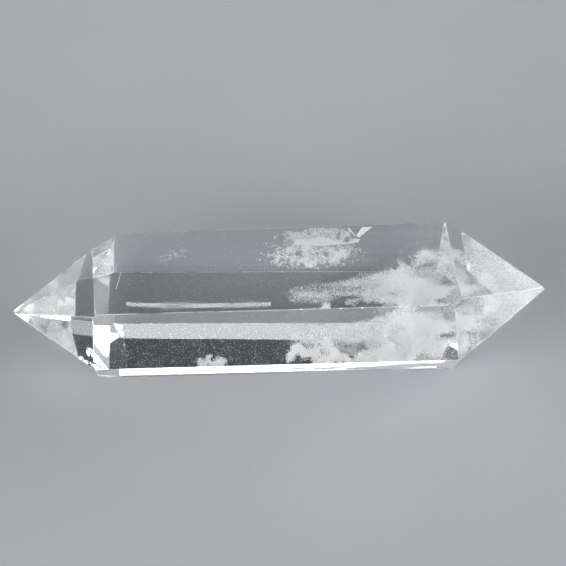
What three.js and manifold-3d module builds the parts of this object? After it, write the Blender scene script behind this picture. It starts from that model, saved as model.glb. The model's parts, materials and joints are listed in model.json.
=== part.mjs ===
// A polished clear quartz point with a ground pyramid at both ends, lying on one of its wide body faces.
// Millimetres, +X along the crystal towards its thicker end, -Y to the front, +Z up.
// The origin is on the resting face, under the middle of the crystal.
//
// Every flat on the stone is one lapidary facet. A facet is set by three numbers:
//   around  where it lies on the dial about the long axis, in degrees: 90 is the top, 270 the resting face,
//           and 180 would face the front
//   lean    how far its outward direction tips from square-on-the-axis towards the point it belongs to
//   reach   how far the facet is from the heart of the crystal, a spot on the axis halfway along it
import * as THREE from "three";
import { mergeVertices } from "three/addons/utils/BufferGeometryUtils.js";
import Module from "manifold-3d";

const HEART_HEIGHT = 8.1; // height of the long axis over the resting face
const BLANK = { length: 90, width: 40, height: 40 }; // the rough block that the facets are ground on
const LAP_SIZE = 200; // side of the block that takes away what is outside a facet

// The six long faces of the body. A hexagonal prism has them 60 degrees apart, and hand polishing has
// turned each a little. The lean is towards the thicker end.
const BODY_FACETS = {
  top: { around: 92.5, lean: -1, reach: 9.1 },
  frontUpper: { around: 147.5, lean: -1, reach: 11.4 },
  frontLower: { around: 210.5, lean: 0, reach: 9.1 },
  resting: { around: 270, lean: 0, reach: HEART_HEIGHT },
  backLower: { around: 330, lean: 1.5, reach: 9.5 },
  backUpper: { around: 30, lean: -0.5, reach: 9.4 },
};

// The six faces of each pyramid, one over each body face.
const LEFT_POINT_FACETS = {
  top: { around: 96, lean: 38, reach: 21.8 },
  frontUpper: { around: 145.5, lean: 43, reach: 24.5 },
  frontLower: { around: 208.5, lean: 37.5, reach: 22.1 },
  under: { around: 270.5, lean: 31, reach: 18.8 },
  backLower: { around: 331.5, lean: 36.5, reach: 21.4 },
  backUpper: { around: 31.5, lean: 32.5, reach: 19.2 },
};
const RIGHT_POINT_FACETS = {
  top: { around: 90, lean: 29.5, reach: 19.5 },
  frontUpper: { around: 143.5, lean: 38.5, reach: 23.3 },
  frontLower: { around: 209, lean: 38.5, reach: 21.7 },
  under: { around: 270, lean: 50, reach: 26.4 },
  backLower: { around: 325, lean: 36.5, reach: 20.5 },
  backUpper: { around: 31, lean: 33.5, reach: 20.7 },
};

// The very tips are worn to flats less than a millimetre across.
const TIP_WEAR = { left: { lean: 90, reach: 35.7 }, right: { lean: 90, reach: 35.8 } };

// Chips on the front shoulder of the left point. Each is a shell-shaped scoop: a ball of the given radius
// sinks to the given depth below a spot on the stone, from the outward direction.
const SCOOP_FINENESS = 5; // subdivisions of the ball that shapes a scoop
const CHIPS = [
  // the long worn hollow along the lower shoulder
  { spot: [-23.9, -6.4, 0.8], outward: [-0.5, -0.62, -0.6], radius: 5.2, depth: 0.85 },
  // the flake scar where the upper and lower front faces meet the point
  { spot: [-24.3, -11.1, 10.2], outward: [-0.42, -0.85, 0.05], radius: 3.2, depth: 0.55 },
  // three small bites on the edge of the point, one beyond the other
  { spot: [-25.3, -10.2, 10.0], outward: [-0.6, -0.78, -0.1], radius: 1.1, depth: 0.4 },
  { spot: [-26.1, -9.4, 9.9], outward: [-0.6, -0.75, 0.1], radius: 0.8, depth: 0.35 },
  { spot: [-24.9, -9.6, 11.6], outward: [-0.5, -0.6, 0.6], radius: 0.9, depth: 0.3 },
];

const QUARTZ = { color: 0xf4f6f7, roughness: 0.03, metalness: 0, transparent: true, opacity: 0.45 };

const wasm = await Module();
wasm.setup();

/** A closed three.js geometry as a solid that can be cut. */
function solidFrom(geometry) {
  const bare = geometry.clone();
  bare.deleteAttribute("normal");
  bare.deleteAttribute("uv");
  const merged = mergeVertices(bare);
  const mesh = new wasm.Mesh({
    numProp: 3,
    vertProperties: new Float32Array(merged.attributes.position.array),
    triVerts: new Uint32Array(merged.index.array),
  });
  return new wasm.Manifold(mesh);
}

/** A cut solid back as a three.js geometry. */
function geometryFrom(solid) {
  const mesh = solid.getMesh();
  const geometry = new THREE.BufferGeometry();
  geometry.setAttribute("position", new THREE.BufferAttribute(mesh.vertProperties, 3));
  geometry.setIndex(new THREE.BufferAttribute(mesh.triVerts, 1));
  return geometry;
}

/** The outward direction of a facet that leans towards the left (-1) or the right (+1) point. */
function facetDirection({ around, lean }, towards) {
  const dial = THREE.MathUtils.degToRad(around);
  const tip = THREE.MathUtils.degToRad(lean);
  return new THREE.Vector3(
    towards * Math.sin(tip),
    Math.cos(dial) * Math.cos(tip),
    Math.sin(dial) * Math.cos(tip),
  );
}

/** The stone with everything outside one facet ground away. */
function grind(stone, facet, towards) {
  const direction = facetDirection(facet, towards);
  const lap = new THREE.BoxGeometry(LAP_SIZE, LAP_SIZE, LAP_SIZE);
  lap.applyQuaternion(new THREE.Quaternion().setFromUnitVectors(new THREE.Vector3(1, 0, 0), direction));
  const centre = direction.multiplyScalar(facet.reach + LAP_SIZE / 2);
  lap.translate(centre.x, centre.y, centre.z + HEART_HEIGHT);
  return stone.subtract(solidFrom(lap));
}

/** The stone with one shell-shaped chip broken out of it. */
function chip(stone, { spot, outward, radius, depth }) {
  const away = new THREE.Vector3(...outward).normalize();
  const centre = new THREE.Vector3(...spot).addScaledVector(away, radius - depth);
  const ball = new THREE.IcosahedronGeometry(radius, SCOOP_FINENESS);
  ball.translate(centre.x, centre.y, centre.z);
  return stone.subtract(solidFrom(ball));
}

/** The faceted crystal before its chips, with the middle of its outline over the origin. */
function cutCrystal() {
  const blank = new THREE.BoxGeometry(BLANK.length, BLANK.width, BLANK.height);
  let stone = solidFrom(blank.translate(0, 0, HEART_HEIGHT));
  for (const facet of Object.values(BODY_FACETS)) {
    stone = grind(stone, facet, 1);
  }
  for (const facet of Object.values(LEFT_POINT_FACETS)) {
    stone = grind(stone, facet, -1);
  }
  for (const facet of Object.values(RIGHT_POINT_FACETS)) {
    stone = grind(stone, facet, 1);
  }
  stone = grind(stone, { around: 0, ...TIP_WEAR.left }, -1);
  stone = grind(stone, { around: 0, ...TIP_WEAR.right }, 1);
  const outline = stone.boundingBox();
  const middle = [0, 1].map((axis) => (outline.min[axis] + outline.max[axis]) / 2);
  return stone.translate([-middle[0], -middle[1], 0]);
}

/** The whole crystal, one solid. */
function quartzCrystal() {
  const stone = CHIPS.reduce(chip, cutCrystal());
  const mesh = new THREE.Mesh(geometryFrom(stone), new THREE.MeshStandardMaterial(QUARTZ));
  mesh.name = "quartz_crystal";
  return mesh;
}

const doubleTerminatedQuartz = new THREE.Group();
doubleTerminatedQuartz.add(quartzCrystal());

export default doubleTerminatedQuartz;
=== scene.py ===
import json
import logging
import math
import random
from collections.abc import Iterator
from dataclasses import dataclass, field
from enum import Enum
from itertools import islice

import bmesh
import bpy
from mathutils import Matrix, Vector, noise
from mathutils.bvhtree import BVHTree

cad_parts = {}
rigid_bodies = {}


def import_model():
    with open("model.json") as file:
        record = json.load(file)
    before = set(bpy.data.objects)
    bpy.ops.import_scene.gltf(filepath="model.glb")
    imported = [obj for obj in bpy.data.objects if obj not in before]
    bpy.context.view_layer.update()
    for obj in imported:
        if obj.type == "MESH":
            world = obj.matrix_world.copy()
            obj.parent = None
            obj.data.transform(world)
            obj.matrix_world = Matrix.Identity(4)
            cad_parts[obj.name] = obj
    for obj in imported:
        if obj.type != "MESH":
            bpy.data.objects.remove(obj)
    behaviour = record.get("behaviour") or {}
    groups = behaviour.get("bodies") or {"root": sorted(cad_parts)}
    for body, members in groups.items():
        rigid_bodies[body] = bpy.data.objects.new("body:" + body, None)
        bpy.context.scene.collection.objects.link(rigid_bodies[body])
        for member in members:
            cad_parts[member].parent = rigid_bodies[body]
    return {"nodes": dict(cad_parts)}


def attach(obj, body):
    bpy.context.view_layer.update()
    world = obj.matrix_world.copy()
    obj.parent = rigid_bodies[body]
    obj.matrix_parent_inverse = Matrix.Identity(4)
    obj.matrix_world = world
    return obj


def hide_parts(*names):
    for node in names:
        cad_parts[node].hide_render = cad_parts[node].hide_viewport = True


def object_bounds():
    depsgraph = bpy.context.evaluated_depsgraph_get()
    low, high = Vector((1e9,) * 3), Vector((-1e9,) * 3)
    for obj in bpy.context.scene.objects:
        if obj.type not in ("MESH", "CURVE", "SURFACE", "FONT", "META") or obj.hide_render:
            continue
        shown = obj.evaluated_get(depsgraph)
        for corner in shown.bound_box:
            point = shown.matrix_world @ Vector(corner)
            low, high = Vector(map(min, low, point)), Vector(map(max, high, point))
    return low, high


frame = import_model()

log = logging.getLogger("quartz")
CAD_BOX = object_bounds()
MM = 0.001
NODE = "quartz_crystal"
BODY = "root"


def linear(hex_colour: str) -> tuple[float, float, float, float]:
    """Turn an sRGB hex colour into the linear one that the shaders take.

    Args:
        hex_colour: Six hex digits, such as "F4F7FA".

    Returns:
        Red, green, blue and an alpha of 1, linear.
    """
    channels = [int(hex_colour[i:i + 2], 16) / 255 for i in (0, 2, 4)]
    return (*(c / 12.92 if c <= 0.04045 else ((c + 0.055) / 1.055) ** 2.4 for c in channels), 1.0)


def add_node(
    tree: bpy.types.NodeTree,
    kind: str,
    settings: dict[str, object] | None = None,
    values: dict[str | int, object] | None = None,
    links: dict[str | int, bpy.types.NodeSocket] | None = None,
) -> bpy.types.Node:
    """Add one node to a tree, set it up and plug it in.

    Args:
        tree: The node tree that takes it.
        kind: Blender's name for the kind of node.
        settings: The node's own options, by name.
        values: Values for its input sockets, by socket name or number.
        links: Output sockets of other nodes to plug into its inputs, by socket name or number.

    Returns:
        The new node.
    """
    node = tree.nodes.new(kind)
    for name, value in (settings or {}).items():
        setattr(node, name, value)
    for name, value in (values or {}).items():
        node.inputs[name].default_value = value
    for name, source in (links or {}).items():
        tree.links.new(source, node.inputs[name])
    return node


def colour_ramp(node: bpy.types.Node, stops: list[tuple[float, str]]) -> None:
    """Set a colour ramp's stops.

    Args:
        node: The Color Ramp node.
        stops: Place from 0 to 1 and sRGB hex colour of each stop, in order.
    """
    elements = node.color_ramp.elements
    while len(elements) < len(stops):
        elements.new(0.5)
    for element, (place, colour) in zip(elements, stops):
        element.position = place
        element.color = linear(colour)


def empty_material(name: str) -> tuple[bpy.types.Material, bpy.types.NodeTree]:
    """Make a material with no nodes yet.

    Args:
        name: The material's name.

    Returns:
        The material and its node tree.
    """
    material = bpy.data.materials.new(name)
    material.use_nodes = True
    material.node_tree.nodes.clear()
    return material, material.node_tree


def new_object(name: str, mesh: bpy.types.Mesh) -> bpy.types.Object:
    """Put a mesh into the scene as an object at the origin.

    Args:
        name: The object's name.
        mesh: Its mesh.

    Returns:
        The object.
    """
    thing = bpy.data.objects.new(name, mesh)
    bpy.context.scene.collection.objects.link(thing)
    return thing


def object_from(bm: bmesh.types.BMesh, name: str) -> bpy.types.Object:
    """Turn a finished bmesh into an object at the origin.

    Args:
        bm: The bmesh, which is freed.
        name: The object's name.

    Returns:
        The object.
    """
    mesh = bpy.data.meshes.new(name)
    bm.to_mesh(mesh)
    bm.free()
    return new_object(name, mesh)


def apply_modifiers(thing: bpy.types.Object) -> None:
    """Swap an object's mesh for what its modifiers make of it, and drop the modifiers.

    Args:
        thing: The object, changed in place.
    """
    shown = thing.evaluated_get(bpy.context.evaluated_depsgraph_get())
    mesh = bpy.data.meshes.new_from_object(shown)
    thing.modifiers.clear()
    thing.data = mesh


def seat(piece: bpy.types.Object) -> bpy.types.Object:
    """Fix a finished piece to the crystal's body."""
    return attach(piece, BODY)


class Slot(Enum):
    """The record's material slots."""

    QUARTZ = "quartz"
    INCLUSIONS = "inclusions"


@dataclass(frozen=True)
class PolishedQuartz:
    """Clear quartz, cut on a wet wheel and polished by hand: water-clear, with a sharp but patchy gloss."""

    ior: float = 1.544  # quartz
    body_tint: str = "EAF3FA"  # the cool cast of a thick piece
    absorption: float = 2.2  # per metre
    patch: float = 6.0 * MM  # how far apart duller and glossier patches of polish lie
    dullness: float = 0.035  # roughness of the duller patches
    body_end: float = 23.5 * MM  # the points' facets begin here, to both sides, and are less polished
    blend: float = 3.0 * MM  # how far it takes the polish to change there
    left_haze: float = 0.05  # how much rougher the left point is
    right_haze: float = 0.15  # and the right one
    wave_spacing: float = 0.9 * MM  # how far apart the faint waves lie that the wheel left
    wave_strength: float = 0.006

    def material(self) -> bpy.types.Material:
        """Build the stone's material: glass with quartz's index, a patchy gloss and faint waves.

        Returns:
            The material.
        """
        material, tree = empty_material("quartz_hand_polished")
        place = add_node(tree, "ShaderNodeTexCoord").outputs["Object"]
        smears = add_node(
            tree,
            "ShaderNodeTexNoise",
            values={"Scale": 1 / self.patch, "Detail": 3.0},
            links={"Vector": place},
        )
        gloss = add_node(
            tree,
            "ShaderNodeMapRange",
            values={"From Min": 0.45, "From Max": 0.8, "To Min": 0.0, "To Max": self.dullness},
            links={"Value": smears.outputs["Fac"]},
        )
        along = add_node(tree, "ShaderNodeSeparateXYZ", links={"Vector": place}).outputs["X"]
        roughness = gloss.outputs["Result"]
        for side, haze in ((-1, self.left_haze), (1, self.right_haze)):
            start, full = side * self.body_end, side * (self.body_end + self.blend)
            on_point = add_node(
                tree,
                "ShaderNodeMapRange",
                values={"From Min": start, "From Max": full, "To Max": haze},
                links={"Value": along},
            )
            roughness = add_node(
                tree,
                "ShaderNodeMath",
                {"operation": "ADD"},
                links={0: roughness, 1: on_point.outputs["Result"]},
            ).outputs[0]
        waves = add_node(
            tree,
            "ShaderNodeTexNoise",
            values={"Scale": 1 / self.wave_spacing, "Detail": 2.0},
            links={"Vector": place},
        )
        bump = add_node(
            tree,
            "ShaderNodeBump",
            values={"Strength": self.wave_strength, "Distance": 0.02 * MM},
            links={"Height": waves.outputs["Fac"]},
        )
        shader = add_node(
            tree,
            "ShaderNodeBsdfPrincipled",
            values={"Base Color": linear("FFFFFF"), "IOR": self.ior, "Transmission Weight": 1.0},
            links={"Roughness": roughness, "Normal": bump.outputs["Normal"]},
        )
        inside = add_node(
            tree,
            "ShaderNodeVolumeAbsorption",
            values={"Color": linear(self.body_tint), "Density": self.absorption},
        )
        add_node(
            tree,
            "ShaderNodeOutputMaterial",
            links={"Surface": shader.outputs["BSDF"], "Volume": inside.outputs["Volume"]},
        )
        return material


@dataclass(frozen=True)
class BruisedQuartz:
    """Quartz bruised by knocks: crushed, and so frosted, along the edges and in the chips and nicks."""

    ior: float = 1.544  # quartz
    clear: float = 0.25  # how much light still goes through the crushed skin
    crush: float = 0.35 * MM  # how far apart more and less crushed patches lie
    finest: float = 0.3  # roughness of the least crushed patches
    coarsest: float = 0.7  # and of the most crushed ones

    def material(self) -> bpy.types.Material:
        """Build the bruised quartz: frosted glass with quartz's index, unevenly rough.

        Returns:
            The material.
        """
        material, tree = empty_material("quartz_bruised")
        place = add_node(tree, "ShaderNodeTexCoord").outputs["Object"]
        crush = add_node(
            tree,
            "ShaderNodeTexNoise",
            values={"Scale": 1 / self.crush, "Detail": 2.0},
            links={"Vector": place},
        )
        frosting = add_node(
            tree,
            "ShaderNodeMapRange",
            values={"From Min": 0.35, "From Max": 0.6, "To Min": self.finest, "To Max": self.coarsest},
            links={"Value": crush.outputs["Fac"]},
        )
        shader = add_node(
            tree,
            "ShaderNodeBsdfPrincipled",
            values={"Base Color": linear("FFFFFF"), "IOR": self.ior, "Transmission Weight": self.clear},
            links={"Roughness": frosting.outputs["Result"]},
        )
        add_node(tree, "ShaderNodeOutputMaterial", links={"Surface": shader.outputs["BSDF"]})
        return material


@dataclass(frozen=True)
class FluidSpecks:
    """Fluid-filled pinholes and cracks. They scatter light, so together they read as white frost."""

    bright: str = "FFFFFF"
    cool: str = "FCFEFF"
    patch: float = 1.6 * MM  # how far apart brighter and cooler patches lie

    def material(self) -> bpy.types.Material:
        """Build the frost's material: near white, with cooler patches.

        Returns:
            The material.
        """
        material, tree = empty_material("fluid_inclusions_white")
        place = add_node(tree, "ShaderNodeTexCoord").outputs["Object"]
        cloud = add_node(
            tree,
            "ShaderNodeTexNoise",
            values={"Scale": 1 / self.patch, "Detail": 2.0},
            links={"Vector": place},
        )
        tint = add_node(tree, "ShaderNodeValToRGB", links={"Fac": cloud.outputs["Fac"]})
        colour_ramp(tint, [(0.35, self.cool), (0.6, self.bright)])
        shader = add_node(
            tree,
            "ShaderNodeBsdfPrincipled",
            values={"Roughness": 0.35, "IOR": 1.33},
            links={"Base Color": tint.outputs["Color"]},
        )
        add_node(tree, "ShaderNodeOutputMaterial", links={"Surface": shader.outputs["BSDF"]})
        return material


@dataclass(frozen=True)
class PaleFloor:
    """Pale matt paper board."""

    colour: str = "A0A2A5"
    shade: str = "9C9EA1"
    mottle: float = 45.0 * MM  # how far apart the lighter and darker patches lie

    def material(self) -> bpy.types.Material:
        """Build the floor's material: matt, with a barely uneven tone.

        Returns:
            The material.
        """
        material, tree = empty_material("paper_board_pale")
        place = add_node(tree, "ShaderNodeTexCoord").outputs["Object"]
        cloud = add_node(
            tree, "ShaderNodeTexNoise", values={"Scale": 1 / self.mottle}, links={"Vector": place}
        )
        tint = add_node(tree, "ShaderNodeValToRGB", links={"Fac": cloud.outputs["Fac"]})
        colour_ramp(tint, [(0.3, self.shade), (0.7, self.colour)])
        shader = add_node(
            tree,
            "ShaderNodeBsdfPrincipled",
            values={"Roughness": 0.9},
            links={"Base Color": tint.outputs["Color"]},
        )
        add_node(tree, "ShaderNodeOutputMaterial", links={"Surface": shader.outputs["BSDF"]})
        return material


class Skin(Enum):
    """The stone's surfaces, by the number of their material."""

    POLISHED = 0
    BRUISED = 1


RING_WAVES = 9.0  # how fast a break's growth rings follow each other, in radians per millimetre
RING_WANDER = 1.5  # how strong the uneven ripple is next to the rings
RIPPLE_SIZE = 1.3  # how far apart its swells are, in millimetres


@dataclass(frozen=True)
class Scoop:
    """A shell-shaped break: a ball that sinks into the stone to a depth, from the outward direction.

    The numbers are millimetres, as in the solid.
    """

    spot: tuple[float, float, float]
    outward: tuple[float, float, float]
    radius: float
    depth: float
    ripple: float = 0.0  # height of the shell's growth rings
    fineness: int = 4
    crushed: float = 1.0  # how much of it is bruised, from -1, nothing, to 1, all
    patch: float = 0.9  # how far apart bruised and clean patches lie

    def cutter(self) -> bpy.types.Object:
        """Build the ball that takes the break out of the stone.

        Returns:
            The ball's object, with bruised and polished faces.
        """
        away = Vector(self.outward).normalized()
        centre = Vector(self.spot) + away * (self.radius - self.depth)
        bm = bmesh.new()
        bmesh.ops.create_icosphere(bm, subdivisions=self.fineness, radius=self.radius)
        for face in bm.faces:
            face.smooth = True
            knocks = noise.noise(face.calc_center_median() / self.patch + centre)
            face.material_index = (Skin.BRUISED if knocks < self.crushed else Skin.POLISHED).value
        for vert in bm.verts:
            reach = math.acos(max(-1.0, min(1.0, -vert.co.normalized().dot(away)))) * self.radius
            swell = noise.noise(vert.co / RIPPLE_SIZE + centre)
            wave = math.sin(reach * RING_WAVES) + RING_WANDER * swell
            vert.co *= 1 + self.ripple / self.radius * wave
        bmesh.ops.translate(bm, verts=bm.verts, vec=centre)
        bmesh.ops.scale(bm, verts=bm.verts, vec=(MM, MM, MM))
        return object_from(bm, "scoop")


CHIPS = (
    # the long worn hollow along the lower shoulder of the left point
    Scoop((-23.9, -6.4, 0.8), (-0.5, -0.62, -0.6), 5.2, 0.85, ripple=0.025, fineness=5, crushed=-0.2),
    # the flake scar where the front faces meet the left point
    Scoop((-24.3, -11.1, 10.2), (-0.42, -0.85, 0.05), 3.2, 0.55, ripple=0.03, fineness=5, crushed=0.0),
    # three small bites on the edge of the left point
    Scoop((-25.3, -10.2, 10.0), (-0.6, -0.78, -0.1), 1.1, 0.4, ripple=0.015, crushed=-0.05),
    Scoop((-26.1, -9.4, 9.9), (-0.6, -0.75, 0.1), 0.8, 0.35, ripple=0.012, crushed=0.0),
    Scoop((-24.9, -9.6, 11.6), (-0.5, -0.6, 0.6), 0.9, 0.3, ripple=0.012, crushed=-0.1),
)


@dataclass
class Stone:
    """The stone: the solid's own facets, with worn edges, its chips and small nicks."""

    rough_block: float = 0.1  # side of the block that the facets are cut from, in metres
    slack: float = 0.002 * MM  # how far the solid may stand before a facet's plane, in its own rounding
    same_facet: float = 0.9999  # faces of the solid whose directions agree this well are one facet
    least_edge: float = 0.8 * MM  # shorter edges aren't worn
    wear: float = 0.11 * MM  # width of the worn strip along a facet's edge
    wear_step: float = 0.55 * MM  # how often the wear changes along an edge
    dent: float = 0.05 * MM  # how deep the wear goes
    dent_spacing: float = 1.7 * MM  # how far apart deeper worn places lie
    dent_chance: tuple[float, float] = (-0.45, 0.35)  # how much deeper or shallower each spot is by chance
    bruise: float = 2.6 * MM  # how far apart bruised and sound stretches of an edge lie
    sound: float = -0.25  # how much of the edges is sound, from -1, nothing, to 1, all
    spotting: float = 0.25  # how much chance mixes bruised and sound spots
    nicks: int = 34
    nick_stretch: tuple[float, float] = (0.04, 0.96)  # the part of an edge's length that nicks are on
    nick_radius: tuple[float, float] = (0.2, 0.5)  # millimetres
    nick_depth: tuple[float, float] = (0.02, 0.06)  # millimetres
    seed: int = 7
    facets: list[tuple[Vector, Vector]] = field(default_factory=list, repr=False)
    skin: BVHTree | None = field(default=None, repr=False)

    def build(self) -> bpy.types.Object:
        """Build the stone round the solid's facets.

        Returns:
            The stone's object.
        """
        self.facets = self.read_facets()
        bm = self.cut_block()
        worn = [e for e in bm.edges if e.calc_length() > self.least_edge]
        nicks = self.place_nicks(worn)
        self.wear_edges(bm, worn)
        stone = object_from(bm, "polished_stone")
        stone.data.materials.append(PolishedQuartz().material())
        stone.data.materials.append(BruisedQuartz().material())
        self.break_out(stone, [*CHIPS, *nicks])
        self.skin = BVHTree.FromPolygons(
            [v.co for v in stone.data.vertices], [p.vertices for p in stone.data.polygons]
        )
        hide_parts(NODE)
        return seat(stone)

    def holds(self, spot: Vector, depth: float) -> bool:
        """Tell whether a place is inside the stone, well under its skin.

        Args:
            spot: The place, in millimetres.
            depth: The least depth under the skin, in millimetres.

        Returns:
            True if it is at least that deep inside.
        """
        place, least = spot * MM, depth * MM
        if any(normal.dot(on_facet - place) < least for normal, on_facet in self.facets):
            return False
        near, outward, _, _ = self.skin.find_nearest(place)
        return outward.dot(near - place) > least

    def read_facets(self) -> list[tuple[Vector, Vector]]:
        """Read the planes of the solid's facets from a copy of its mesh.

        The stone without its chips is convex, so a facet is a face that has the whole solid behind it.

        Returns:
            The outward direction of each facet and one point on it, largest first.
        """
        bm = bmesh.new()
        bm.from_mesh(frame["nodes"][NODE].data)
        bmesh.ops.remove_doubles(bm, verts=bm.verts, dist=0.001 * MM)
        bmesh.ops.dissolve_limit(
            bm, angle_limit=math.radians(0.5), verts=bm.verts, edges=bm.edges, delimit=set()
        )
        facets: list[tuple[Vector, Vector]] = []
        for face in sorted(bm.faces, key=bmesh.types.BMFace.calc_area, reverse=True):
            normal, spot = face.normal.copy(), face.verts[0].co.copy()
            if any(normal.dot(vert.co - spot) > self.slack for vert in bm.verts):
                continue
            if all(normal.dot(known) < self.same_facet for known, _ in facets):
                facets.append((normal, spot))
        bm.free()
        return facets

    def cut_block(self) -> bmesh.types.BMesh:
        """Cut a block down to the facets.

        Returns:
            The faceted stone, with no chips.
        """
        bm = bmesh.new()
        bmesh.ops.create_cube(bm, size=self.rough_block)
        for normal, spot in self.facets:
            geometry = [*bm.verts, *bm.edges, *bm.faces]
            cut = bmesh.ops.bisect_plane(
                bm, geom=geometry, dist=1e-9, plane_co=spot, plane_no=normal, clear_outer=True
            )["geom_cut"]
            bmesh.ops.edgeloop_fill(bm, edges=[g for g in cut if isinstance(g, bmesh.types.BMEdge)])
        bmesh.ops.recalc_face_normals(bm, faces=bm.faces)
        return bm

    def place_nicks(self, edges: list[bmesh.types.BMEdge]) -> list[Scoop]:
        """Choose where the small nicks are, on the facets' edges.

        Args:
            edges: The edges that can be nicked.

        Returns:
            One small scoop for each nick.
        """
        dice = random.Random(self.seed)
        nicks = []
        lengths = [edge.calc_length() for edge in edges]
        for edge in dice.choices(edges, weights=lengths, k=self.nicks):
            start, end = (vert.co / MM for vert in edge.verts)
            spot = start.lerp(end, dice.uniform(*self.nick_stretch))
            outward = sum((face.normal for face in edge.link_faces), Vector())
            radius = dice.uniform(*self.nick_radius)
            depth = min(dice.uniform(*self.nick_depth), radius / 3)
            nicks.append(Scoop(tuple(spot), tuple(outward), radius, depth, ripple=0.006, fineness=3))
        return nicks

    def wear_edges(self, bm: bmesh.types.BMesh, worn: list[bmesh.types.BMEdge]) -> None:
        """Round the facets' edges by a hair, unevenly, as handling does, and keep the facets flat.

        Args:
            bm: The stone's bmesh, changed in place.
            worn: The edges to round.
        """
        chains = []
        for edge in worn:
            cuts = int(edge.calc_length() / self.wear_step)
            split = bmesh.ops.bisect_edges(bm, edges=[edge], cuts=cuts)["geom_split"] if cuts else []
            chains += [g for g in split if isinstance(g, bmesh.types.BMEdge)] or [edge]
        made = bmesh.ops.bevel(
            bm,
            geom=chains,
            offset=self.wear,
            offset_type="WIDTH",
            affect="EDGES",
            segments=2,
            profile=0.5,
            material=-1,
            clamp_overlap=True,
        )
        strip = set(made["faces"])
        dice = random.Random(self.seed)
        for face in made["faces"]:
            knocks = noise.noise(face.calc_center_median() / self.bruise)
            knocks += dice.uniform(-self.spotting, self.spotting)
            face.material_index = (Skin.BRUISED if knocks > self.sound else Skin.POLISHED).value
        for vert in bm.verts:
            if vert.link_faces and all(face in strip for face in vert.link_faces):
                bite = noise.noise(vert.co / self.dent_spacing) + dice.uniform(*self.dent_chance)
                vert.co -= vert.normal * self.dent * max(0.0, bite)
        for face in bm.faces:
            if face in strip:
                continue
            normal, spot = max(self.facets, key=lambda facet: facet[0].dot(face.normal))
            for vert in face.verts:
                vert.co -= normal * normal.dot(vert.co - spot)

    def break_out(self, stone: bpy.types.Object, scoops: list[Scoop]) -> None:
        """Take the chips and nicks out of the stone.

        Args:
            stone: The stone's object, whose mesh is changed.
            scoops: What to break out.
        """
        balls = bpy.data.collections.new("scoops")
        for scoop in scoops:
            ball = scoop.cutter()
            bpy.context.scene.collection.objects.unlink(ball)
            balls.objects.link(ball)
        bpy.context.scene.collection.children.link(balls)
        cut = stone.modifiers.new("breaks", "BOOLEAN")
        cut.operation = "DIFFERENCE"
        cut.operand_type = "COLLECTION"
        cut.collection = balls
        cut.solver = "EXACT"
        apply_modifiers(stone)
        for ball in list(balls.objects):
            bpy.data.objects.remove(ball)
        bpy.data.collections.remove(balls)


class Grain(Enum):
    """The shapes of grain that the frost inside the stone is made of."""

    SPECK = "speck"  # a pinhole of fluid
    FLAKE = "flake"  # a scale of a crumpled crack

    def build(self) -> bpy.types.Object:
        """Build one grain of radius 1 round the origin.

        Returns:
            The grain's object.
        """
        bm = bmesh.new()
        if self is Grain.SPECK:
            bmesh.ops.create_cone(bm, cap_ends=True, segments=3, radius1=1.0, radius2=0.0, depth=1.5)
            bmesh.ops.remove_doubles(bm, verts=bm.verts, dist=0.01)
        else:
            bmesh.ops.create_cone(bm, cap_ends=True, segments=5, radius1=1.0, radius2=0.85, depth=0.1)
        bmesh.ops.recalc_face_normals(bm, faces=bm.faces)
        return object_from(bm, self.value)


class Pattern(Enum):
    """How grains gather."""

    BILLOWS = "billows"  # soft patches, as in milk
    CREASES = "creases"  # thin branching lines, as in crumpled foil

    def thickness(self, place: Vector) -> float:
        """Tell how thick the grains lie at a place, from about -1 to 1."""
        cloud = noise.fractal(place, 1.0, 2.0, 4)
        return cloud if self is Pattern.BILLOWS else 0.8 - 2.5 * abs(cloud)


WINDOW_REACH = 1.2  # how far a window's clearing reaches past its radius, as a share of the radius
WINDOW_SLOPE = 2.0  # how fast grains grow rarer towards the middle of a window


@dataclass(frozen=True)
class Veil:
    """A veil or a crack: grains on a crumpled sheet. The numbers are millimetres, as in the solid."""

    middle: tuple[float, float, float]
    along: tuple[float, float, float]  # from its middle to its right end
    across: tuple[float, float, float]  # from its middle to its back edge
    grains: int
    size: tuple[float, float] = (0.03, 0.06)
    crumple: float = 0.7  # how far the folds stand out
    fold: float = 2.4  # how far apart the folds are
    patch: float = 2.6  # how far apart the bare patches are
    bare: float = -0.1  # how much is bare, from -1, nothing, to 1, all
    thickness: float = 0.12
    streak: float = 1.0  # how many times longer the patches are along the stone than across it
    fade: float = 0.9  # how much thinner it gets towards its rim
    soft: float = 0.5  # how gently the patches thin out
    windows: tuple[tuple[float, float, float], ...] = ()  # clear places: x, y and radius
    pattern: Pattern = Pattern.BILLOWS

    def spots(self, dice: random.Random) -> Iterator[Vector]:
        """Find places on the sheet, closer together where it is thick.

        Args:
            dice: The source of chance.

        Yields:
            One place after another, in millimetres.
        """
        middle, along, across = Vector(self.middle), Vector(self.along), Vector(self.across)
        square = along.cross(across).normalized()
        squeeze = Vector((1 / self.streak, 1, 1)) / self.patch
        while True:
            u, v = dice.uniform(-1, 1), dice.uniform(-1, 1)
            flat = middle + along * u + across * v
            least = self.bare + self.fade * (u * u + v * v) ** 2 + dice.uniform(0, self.soft)
            for x, y, radius in self.windows:
                away = math.hypot(flat.x - x, flat.y - y) / radius
                least += max(0.0, WINDOW_SLOPE * (WINDOW_REACH - away))
            if self.pattern.thickness(flat * squeeze) > least:
                lift = self.crumple * noise.fractal(flat / self.fold + along, 0.8, 2.1, 4)
                yield flat + square * (lift + dice.gauss(0, self.thickness))


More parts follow.
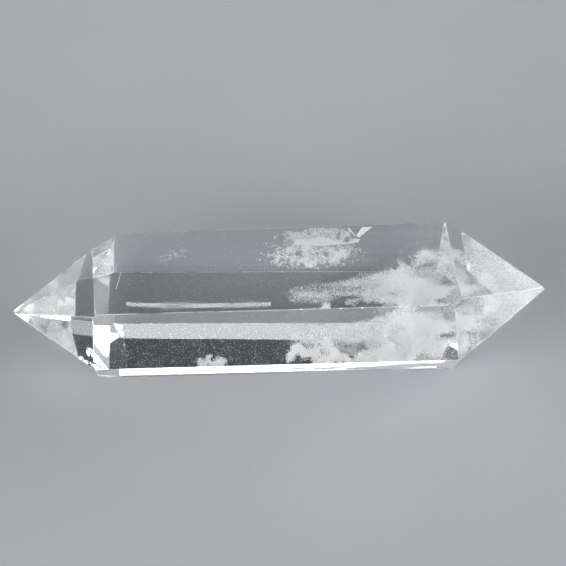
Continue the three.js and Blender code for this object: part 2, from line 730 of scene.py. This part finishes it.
@dataclass(frozen=True)
class Mist:
    """Milky crystal: grains all through an egg-shaped space.

    The numbers are millimetres, as in the solid.
    """

    centre: tuple[float, float, float]
    reach: tuple[float, float, float]  # half its length, width and height
    grains: int
    size: tuple[float, float] = (0.03, 0.06)
    patch: float = 3.0  # how far apart the bare patches are
    bare: float = -0.1  # how much is bare, from -1, nothing, to 1, all
    fade: float = 0.6  # how much thinner it gets towards its rim
    soft: tuple[float, float] = (-0.4, 0.25)  # how much chance softens the patches' rims

    def spots(self, dice: random.Random) -> Iterator[Vector]:
        """Find places in the mist, closer together towards its middle.

        Args:
            dice: The source of chance.

        Yields:
            One place after another, in millimetres.
        """
        while True:
            away = Vector([dice.uniform(-1, 1) for _ in range(3)])
            spot = Vector(self.centre) + away * Vector(self.reach)
            cloud = noise.fractal(spot / self.patch, 1.0, 2.0, 3) + dice.uniform(*self.soft)
            if away.length < 1 and cloud > self.bare + self.fade * away.length_squared:
                yield spot


@dataclass(frozen=True)
class Frost:
    """One piece of what is inside the stone: grains of one kind, in one cloud or more."""

    name: str
    grain: Grain
    clouds: tuple[Veil | Mist, ...]
    seed: int
    finish: FluidSpecks = FluidSpecks()
    depth: float = 0.15  # how deep under the skin each grain is at least, in millimetres

    def build(self, stone: Stone) -> bpy.types.Object:
        """Build the piece.

        Args:
            stone: The stone that it is in.

        Returns:
            The piece's object.
        """
        dice = random.Random(self.seed)
        mesh = bpy.data.meshes.new(self.name)
        places: list[float] = []
        sizes: list[float] = []
        turns: list[float] = []
        for cloud in self.clouds:
            low, high = cloud.size
            for spot in islice(cloud.spots(dice), cloud.grains):
                size = low + (high - low) * dice.random() ** 3  # small ones are the most common
                turn = [dice.uniform(0, math.tau) for _ in range(3)]
                if stone.holds(spot, self.depth + size):
                    places.extend(spot * MM)
                    sizes.append(size * MM)
                    turns.extend(turn)
        mesh.vertices.add(len(sizes))
        mesh.vertices.foreach_set("co", places)
        mesh.attributes.new("size", "FLOAT", "POINT").data.foreach_set("value", sizes)
        mesh.attributes.new("turn", "FLOAT_VECTOR", "POINT").data.foreach_set("vector", turns)
        piece = new_object(self.name, mesh)
        grain = self.grain.build()
        self.scatter(piece, grain)
        bpy.data.objects.remove(grain)
        piece.data.materials.clear()
        piece.data.materials.append(self.finish.material())
        return seat(piece)

    def scatter(self, piece: bpy.types.Object, grain: bpy.types.Object) -> None:
        """Turn an object's points into real grains.

        Args:
            piece: The object, with a size and a turn stored on each point.
            grain: One grain of radius 1.
        """
        tree = bpy.data.node_groups.new("scatter", "GeometryNodeTree")
        tree.interface.new_socket("Geometry", in_out="INPUT", socket_type="NodeSocketGeometry")
        tree.interface.new_socket("Geometry", in_out="OUTPUT", socket_type="NodeSocketGeometry")
        points = add_node(tree, "NodeGroupInput").outputs["Geometry"]
        shape = add_node(tree, "GeometryNodeObjectInfo", values={"Object": grain}).outputs["Geometry"]
        attribute = "GeometryNodeInputNamedAttribute"
        size = add_node(tree, attribute, {"data_type": "FLOAT"}, {"Name": "size"})
        turn = add_node(tree, attribute, {"data_type": "FLOAT_VECTOR"}, {"Name": "turn"})
        angle = add_node(tree, "FunctionNodeEulerToRotation", links={"Euler": turn.outputs["Attribute"]})
        grains = add_node(
            tree,
            "GeometryNodeInstanceOnPoints",
            links={
                "Points": points,
                "Instance": shape,
                "Rotation": angle.outputs["Rotation"],
                "Scale": size.outputs["Attribute"],
            },
        )
        instances = grains.outputs["Instances"]
        real = add_node(tree, "GeometryNodeRealizeInstances", links={"Geometry": instances})
        add_node(tree, "NodeGroupOutput", links={"Geometry": real.outputs["Geometry"]})
        piece.modifiers.new("grains", "NODES").node_group = tree
        apply_modifiers(piece)


# What is inside the stone: the left half is nearly clear, and the right third is milky.
FROSTS = (
    Frost(
        "crack_cloud_flakes",
        Grain.FLAKE,
        (
            # core of the crumpled crack under the top edge at the back, right of the middle
            Veil(
                (5.8, 4.1, 16.0), (5.2, 0, 0.1), (0, 0.5, 0.35), 1700, (0.05, 0.2),
                crumple=0.4, fold=1.2, patch=0.9, bare=-0.5, streak=2.5,
            ),
            # scales strewn round it
            Mist((4.8, 3.0, 15.0), (8.4, 3.0, 2.6), 300, (0.03, 0.15), patch=1.2, bare=-0.2),
        ),
        seed=11,
    ),
    Frost(
        "crack_cloud_specks",
        Grain.SPECK,
        (
            # the curtain from the edge down to the core
            Veil(
                (4.7, 4.9, 16.6), (6.2, 0.1, 0.1), (0, 1.2, 0.8), 5500, (0.03, 0.065),
                crumple=0.4, fold=1.6, patch=1.3, bare=-0.6, streak=0.5, fade=1.3,
            ),
            # the core
            Veil(
                (5.8, 4.1, 16.0), (5.4, 0, 0.1), (0, 0.6, 0.4), 9000, (0.03, 0.08),
                crumple=0.4, fold=1.2, patch=0.9, bare=-0.6, streak=2.5, fade=1.3,
            ),
            # the torn skirt below it
            Veil(
                (4.6, 3.0, 14.1), (6.6, 0.1, 0), (0, 1.4, 1.9), 8500, (0.03, 0.075),
                crumple=0.9, fold=1.7, patch=1.6, bare=-0.3, thickness=0.25, fade=1.3, soft=0.7,
            ),
            # thin creases through the skirt
            Veil(
                (4.2, 2.8, 14.4), (8.4, 0.1, 0), (0, 1.8, 2.4), 4500, (0.03, 0.075),
                crumple=0.9, fold=1.7, patch=1.1, bare=0.1, fade=0.9, soft=0.6, pattern=Pattern.CREASES,
            ),
        ),
        seed=12,
    ),
    Frost(
        "milk_veil_low_specks",
        Grain.SPECK,
        (
            # two thin veils one over the other, low in the right half
            Veil(
                (12.2, 2.8, 1.2), (12.0, 1.2, 0.2), (1.2, 3.4, 0.3), 17000, (0.035, 0.085),
                crumple=0.7, fold=3.4, patch=2.6, bare=-0.4, thickness=0.3, streak=2.8, soft=1.1,
            ),
            Veil(
                (15.5, 1.5, 2.8), (9.5, 1.2, 0.4), (1.5, 4.6, 0.5), 18000, (0.035, 0.085),
                crumple=0.9, fold=3.0, patch=2.4, bare=-0.3, thickness=0.2, streak=2.4, soft=0.8,
            ),
        ),
        seed=13,
    ),
    Frost(
        "milk_veil_high_specks",
        Grain.SPECK,
        (
            # the veil over them, nearer the right point
            Veil(
                (18.0, 2.0, 4.8), (9.5, 1.2, 1.0), (1.5, 5.4, 0.8), 22000, (0.035, 0.085),
                crumple=1.1, fold=2.8, patch=2.6, bare=-0.3, thickness=0.25, streak=2.4, soft=0.8,
            ),
            # loose milk round it
            Mist((20.5, 0.0, 5.0), (9.5, 9.0, 4.5), 12000, (0.03, 0.06), patch=3.2, bare=-0.2),
        ),
        seed=16,
    ),
    Frost(
        "milk_band_specks",
        Grain.SPECK,
        (
            # the whitest part, low at the front of the right half, with clear windows
            Veil(
                (12.6, -2.9, 4.4), (11.6, 0.4, 0.2), (1.8, 3.0, 0.2), 47000, (0.045, 0.105),
                crumple=1.2, fold=2.0, patch=1.7, bare=-0.7, thickness=0.5, streak=1.6, soft=0.9,
                windows=((9.2, -2.0, 2.5), (12.8, -1.4, 1.6), (15.0, -1.6, 1.2), (6.0, -3.6, 0.9)),
            ),
        ),
        seed=17,
    ),
    Frost(
        "point_haze_specks",
        Grain.SPECK,
        (Mist((30.0, 0.0, 8.6), (7.6, 11.5, 9.2), 40000, (0.028, 0.055), patch=5.0, bare=-1.2),),
        seed=14,
    ),
    Frost(
        "dust_specks",
        Grain.SPECK,
        (
            # pinholes everywhere
            Mist((0.0, 0.0, 8.5), (36.0, 13.0, 10.0), 4000, (0.02, 0.07), patch=9.0, bare=-1.5),
            # scuffs on the face that it rests on
            Veil(
                (0.0, 0.8, 0.2), (26.0, 0.0, 0.0), (0.0, 7.0, 0.0), 12000, (0.015, 0.05),
                crumple=0.0, patch=6.0, bare=-1.5, thickness=0.02, fade=0.7,
            ),
            # a small puff low at the front, left of the middle
            Mist((-9.2, -8.6, 8.3), (2.2, 1.2, 1.2), 3600, (0.03, 0.07), patch=0.9, bare=-0.2),
            # faint wisps near the top, left of the middle
            Veil(
                (-14.0, 3.2, 14.6), (2.6, 0.6, 0.2), (0.2, 0.7, 0.9), 500, (0.02, 0.05),
                crumple=0.3, fold=0.9, patch=0.8, bare=0.2, streak=2.0, fade=0.7, pattern=Pattern.CREASES,
            ),
        ),
        seed=15,
        depth=0.06,
    ),
)


@dataclass(frozen=True)
class Crack:
    """A small flat crack that shows as a white plate. The corners are millimetres, as in the solid."""

    corners: tuple[tuple[float, float, float], ...]
    thickness: float = 0.04

    def add_to(self, bm: bmesh.types.BMesh) -> None:
        """Add the plate to a bmesh, in metres.

        Args:
            bm: The bmesh that takes it.
        """
        verts = [bm.verts.new(Vector(corner) * MM) for corner in self.corners]
        face = bm.faces.new(verts)
        bm.normal_update()
        bmesh.ops.solidify(bm, geom=[face], thickness=self.thickness * MM)


CRACKS = (
    # the broad arm of the V-shaped crack under the top edge
    Crack(((11.2, 5.75, 17.35), (12.6, 5.75, 17.4), (10.75, 4.25, 16.9), (10.35, 4.5, 16.95))),
    # its thin arm
    Crack(((9.25, 5.75, 17.3), (9.45, 5.75, 17.3), (10.3, 4.55, 16.95), (10.15, 4.5, 16.95))),
    # a sliver like a scratch just under the top face, near the left point
    Crack(((-20.7, -0.3, 16.55), (-20.62, -0.32, 16.55), (-21.2, -3.1, 16.4), (-21.28, -3.08, 16.4))),
)


@dataclass
class CrackPlates:
    """The few flat cracks, as one piece."""

    name: str = "crack_plates"

    def build(self) -> bpy.types.Object:
        """Build the plates.

        Returns:
            The piece's object.
        """
        bm = bmesh.new()
        for crack in CRACKS:
            crack.add_to(bm)
        bmesh.ops.recalc_face_normals(bm, faces=bm.faces)
        piece = object_from(bm, self.name)
        piece.data.materials.append(FluidSpecks().material())
        return seat(piece)


@dataclass(frozen=True)
class Glow:
    """A wide soft light far away. The angles are degrees."""

    azimuth: float  # 0 is behind the stone, 90 to its right and 180 in front of it
    height: float  # above the horizon
    spread: float  # from its middle to its edge
    strength: float

    def direction(self) -> Vector:
        """Give the direction of its middle."""
        turn, rise = math.radians(self.azimuth), math.radians(self.height)
        return Vector((math.sin(turn) * math.cos(rise), math.cos(turn) * math.cos(rise), math.sin(rise)))


@dataclass
class Studio:
    """The pale floor, the soft lights and the camera."""

    floor_radius: float = 2.5
    floor_gap: float = 0.02 * MM  # the floor is this far under the stone
    glows: tuple[Glow, ...] = (
        Glow(azimuth=232, height=12, spread=30, strength=11.0),
        Glow(azimuth=125, height=12, spread=30, strength=11.0),
        Glow(azimuth=78, height=12, spread=28, strength=9.5),
        Glow(azimuth=262, height=12, spread=24, strength=9.5),
        Glow(azimuth=0, height=2, spread=12, strength=5.0),
        Glow(azimuth=181, height=3, spread=12, strength=0.22),
    )
    strip_place: tuple[float, float, float] = (-0.030, -0.0255, 0.62)  # it makes the streak in the top face
    strip_size: tuple[float, float] = (0.094, 0.0028)
    strip_power: float = 0.036  # watts
    camera_place: Vector = field(default_factory=lambda: Vector((-3.631, -135.440, 180.863)) * MM)
    camera_forward: Vector = field(default_factory=lambda: Vector((0.0192247, 0.62825478, -0.77777011)))
    lens: float = 103.32  # millimetres
    sensor: float = 36.0  # millimetres

    def build(self) -> None:
        """Build the floor, the lights, the surroundings and the camera."""
        self.add_floor()
        self.add_surroundings()
        self.add_softbox("overhead_strip", self.strip_place, self.strip_size, self.strip_power)
        self.add_camera()
        self.set_light_paths()

    def add_floor(self) -> None:
        """Add the round floor, just under the stone."""
        bm = bmesh.new()
        bmesh.ops.create_circle(bm, cap_ends=True, radius=self.floor_radius, segments=128)
        floor = object_from(bm, "floor")
        floor.data.transform(Matrix.Translation((0, 0, CAD_BOX[0][2] - self.floor_gap)))
        floor.data.materials.append(PaleFloor().material())

    def add_surroundings(self) -> None:
        """Set the world: a bright ring at the horizon, a dark ceiling and the wide soft glows."""
        world = bpy.data.worlds.new("studio")
        bpy.context.scene.world = world
        world.use_nodes = True
        tree = world.node_tree
        tree.nodes.clear()
        direction = add_node(tree, "ShaderNodeTexCoord").outputs["Generated"]
        height = add_node(tree, "ShaderNodeSeparateXYZ", links={"Vector": direction}).outputs["Z"]
        ramp = add_node(tree, "ShaderNodeValToRGB", links={"Fac": height})
        colour_ramp(ramp, [(0.0, "F4F6F8"), (0.22, "E8ECF0"), (0.5, "4A5058"), (1.0, "2E3338")])
        light = add_node(
            tree, "ShaderNodeBackground", values={"Strength": 0.5}, links={"Color": ramp.outputs["Color"]}
        ).outputs["Background"]
        for soft in self.glows:
            near = add_node(
                tree,
                "ShaderNodeVectorMath",
                settings={"operation": "DOT_PRODUCT"},
                values={1: soft.direction()},
                links={0: direction},
            )
            level = add_node(
                tree,
                "ShaderNodeMapRange",
                settings={"interpolation_type": "SMOOTHSTEP"},
                values={"From Min": math.cos(math.radians(soft.spread)), "To Max": soft.strength},
                links={"Value": near.outputs["Value"]},
            )
            glow = add_node(tree, "ShaderNodeBackground", links={"Strength": level.outputs["Result"]})
            glow.inputs["Color"].default_value = linear("FFFFFF")
            light = add_node(
                tree, "ShaderNodeAddShader", links={0: light, 1: glow.outputs["Background"]}
            ).outputs["Shader"]
        add_node(tree, "ShaderNodeOutputWorld", links={"Surface": light})

    def add_softbox(
        self, name: str, place: tuple[float, float, float], size: tuple[float, float], power: float
    ) -> None:
        """Add a rectangular soft light that hangs over the stone and shines straight down.

        Args:
            name: The light's name.
            place: Where it hangs, in metres.
            size: Its length along the stone and its width, in metres.
            power: Its power in watts.
        """
        lamp = bpy.data.lights.new(name, "AREA")
        lamp.shape = "RECTANGLE"
        lamp.size, lamp.size_y = size
        lamp.energy = power
        lamp.color = linear("FFFFFF")[:3]
        box = bpy.data.objects.new(name, lamp)
        bpy.context.scene.collection.objects.link(box)
        box.location = place

    def add_camera(self) -> None:
        """Add the camera where the photograph was taken from."""
        lens = bpy.data.cameras.new("camera")
        lens.lens = self.lens
        lens.sensor_width = self.sensor
        lens.clip_start = 0.01
        camera = bpy.data.objects.new("camera", lens)
        bpy.context.scene.collection.objects.link(camera)
        forward = self.camera_forward.normalized()
        right = forward.cross(Vector((0, 0, 1))).normalized()
        up = right.cross(forward)
        turn = Matrix((right, up, -forward)).transposed()
        camera.matrix_world = Matrix.Translation(self.camera_place) @ turn.to_4x4()
        bpy.context.scene.camera = camera

    def set_light_paths(self) -> None:
        """Let light bounce often enough to cross the stone, and keep the tones as they are."""
        scene = bpy.context.scene
        scene.cycles.max_bounces = 64
        scene.cycles.transmission_bounces = 64
        scene.cycles.glossy_bounces = 48
        scene.cycles.diffuse_bounces = 32
        scene.view_settings.view_transform = "Standard"


def main() -> None:
    """Build the stone, what is inside it and the studio, and report each piece."""
    logging.basicConfig(level=logging.INFO, format="%(name)s: %(message)s")
    stone = Stone()
    shell = stone.build()
    log.info("%s: %d faces", shell.name, len(shell.data.polygons))
    for frost in FROSTS:
        piece = frost.build(stone)
        log.info("%s: %d faces", piece.name, len(piece.data.polygons))
    plates = CrackPlates().build()
    log.info("%s: %d faces", plates.name, len(plates.data.polygons))
    Studio().build()


if __name__ == "__main__":
    main()
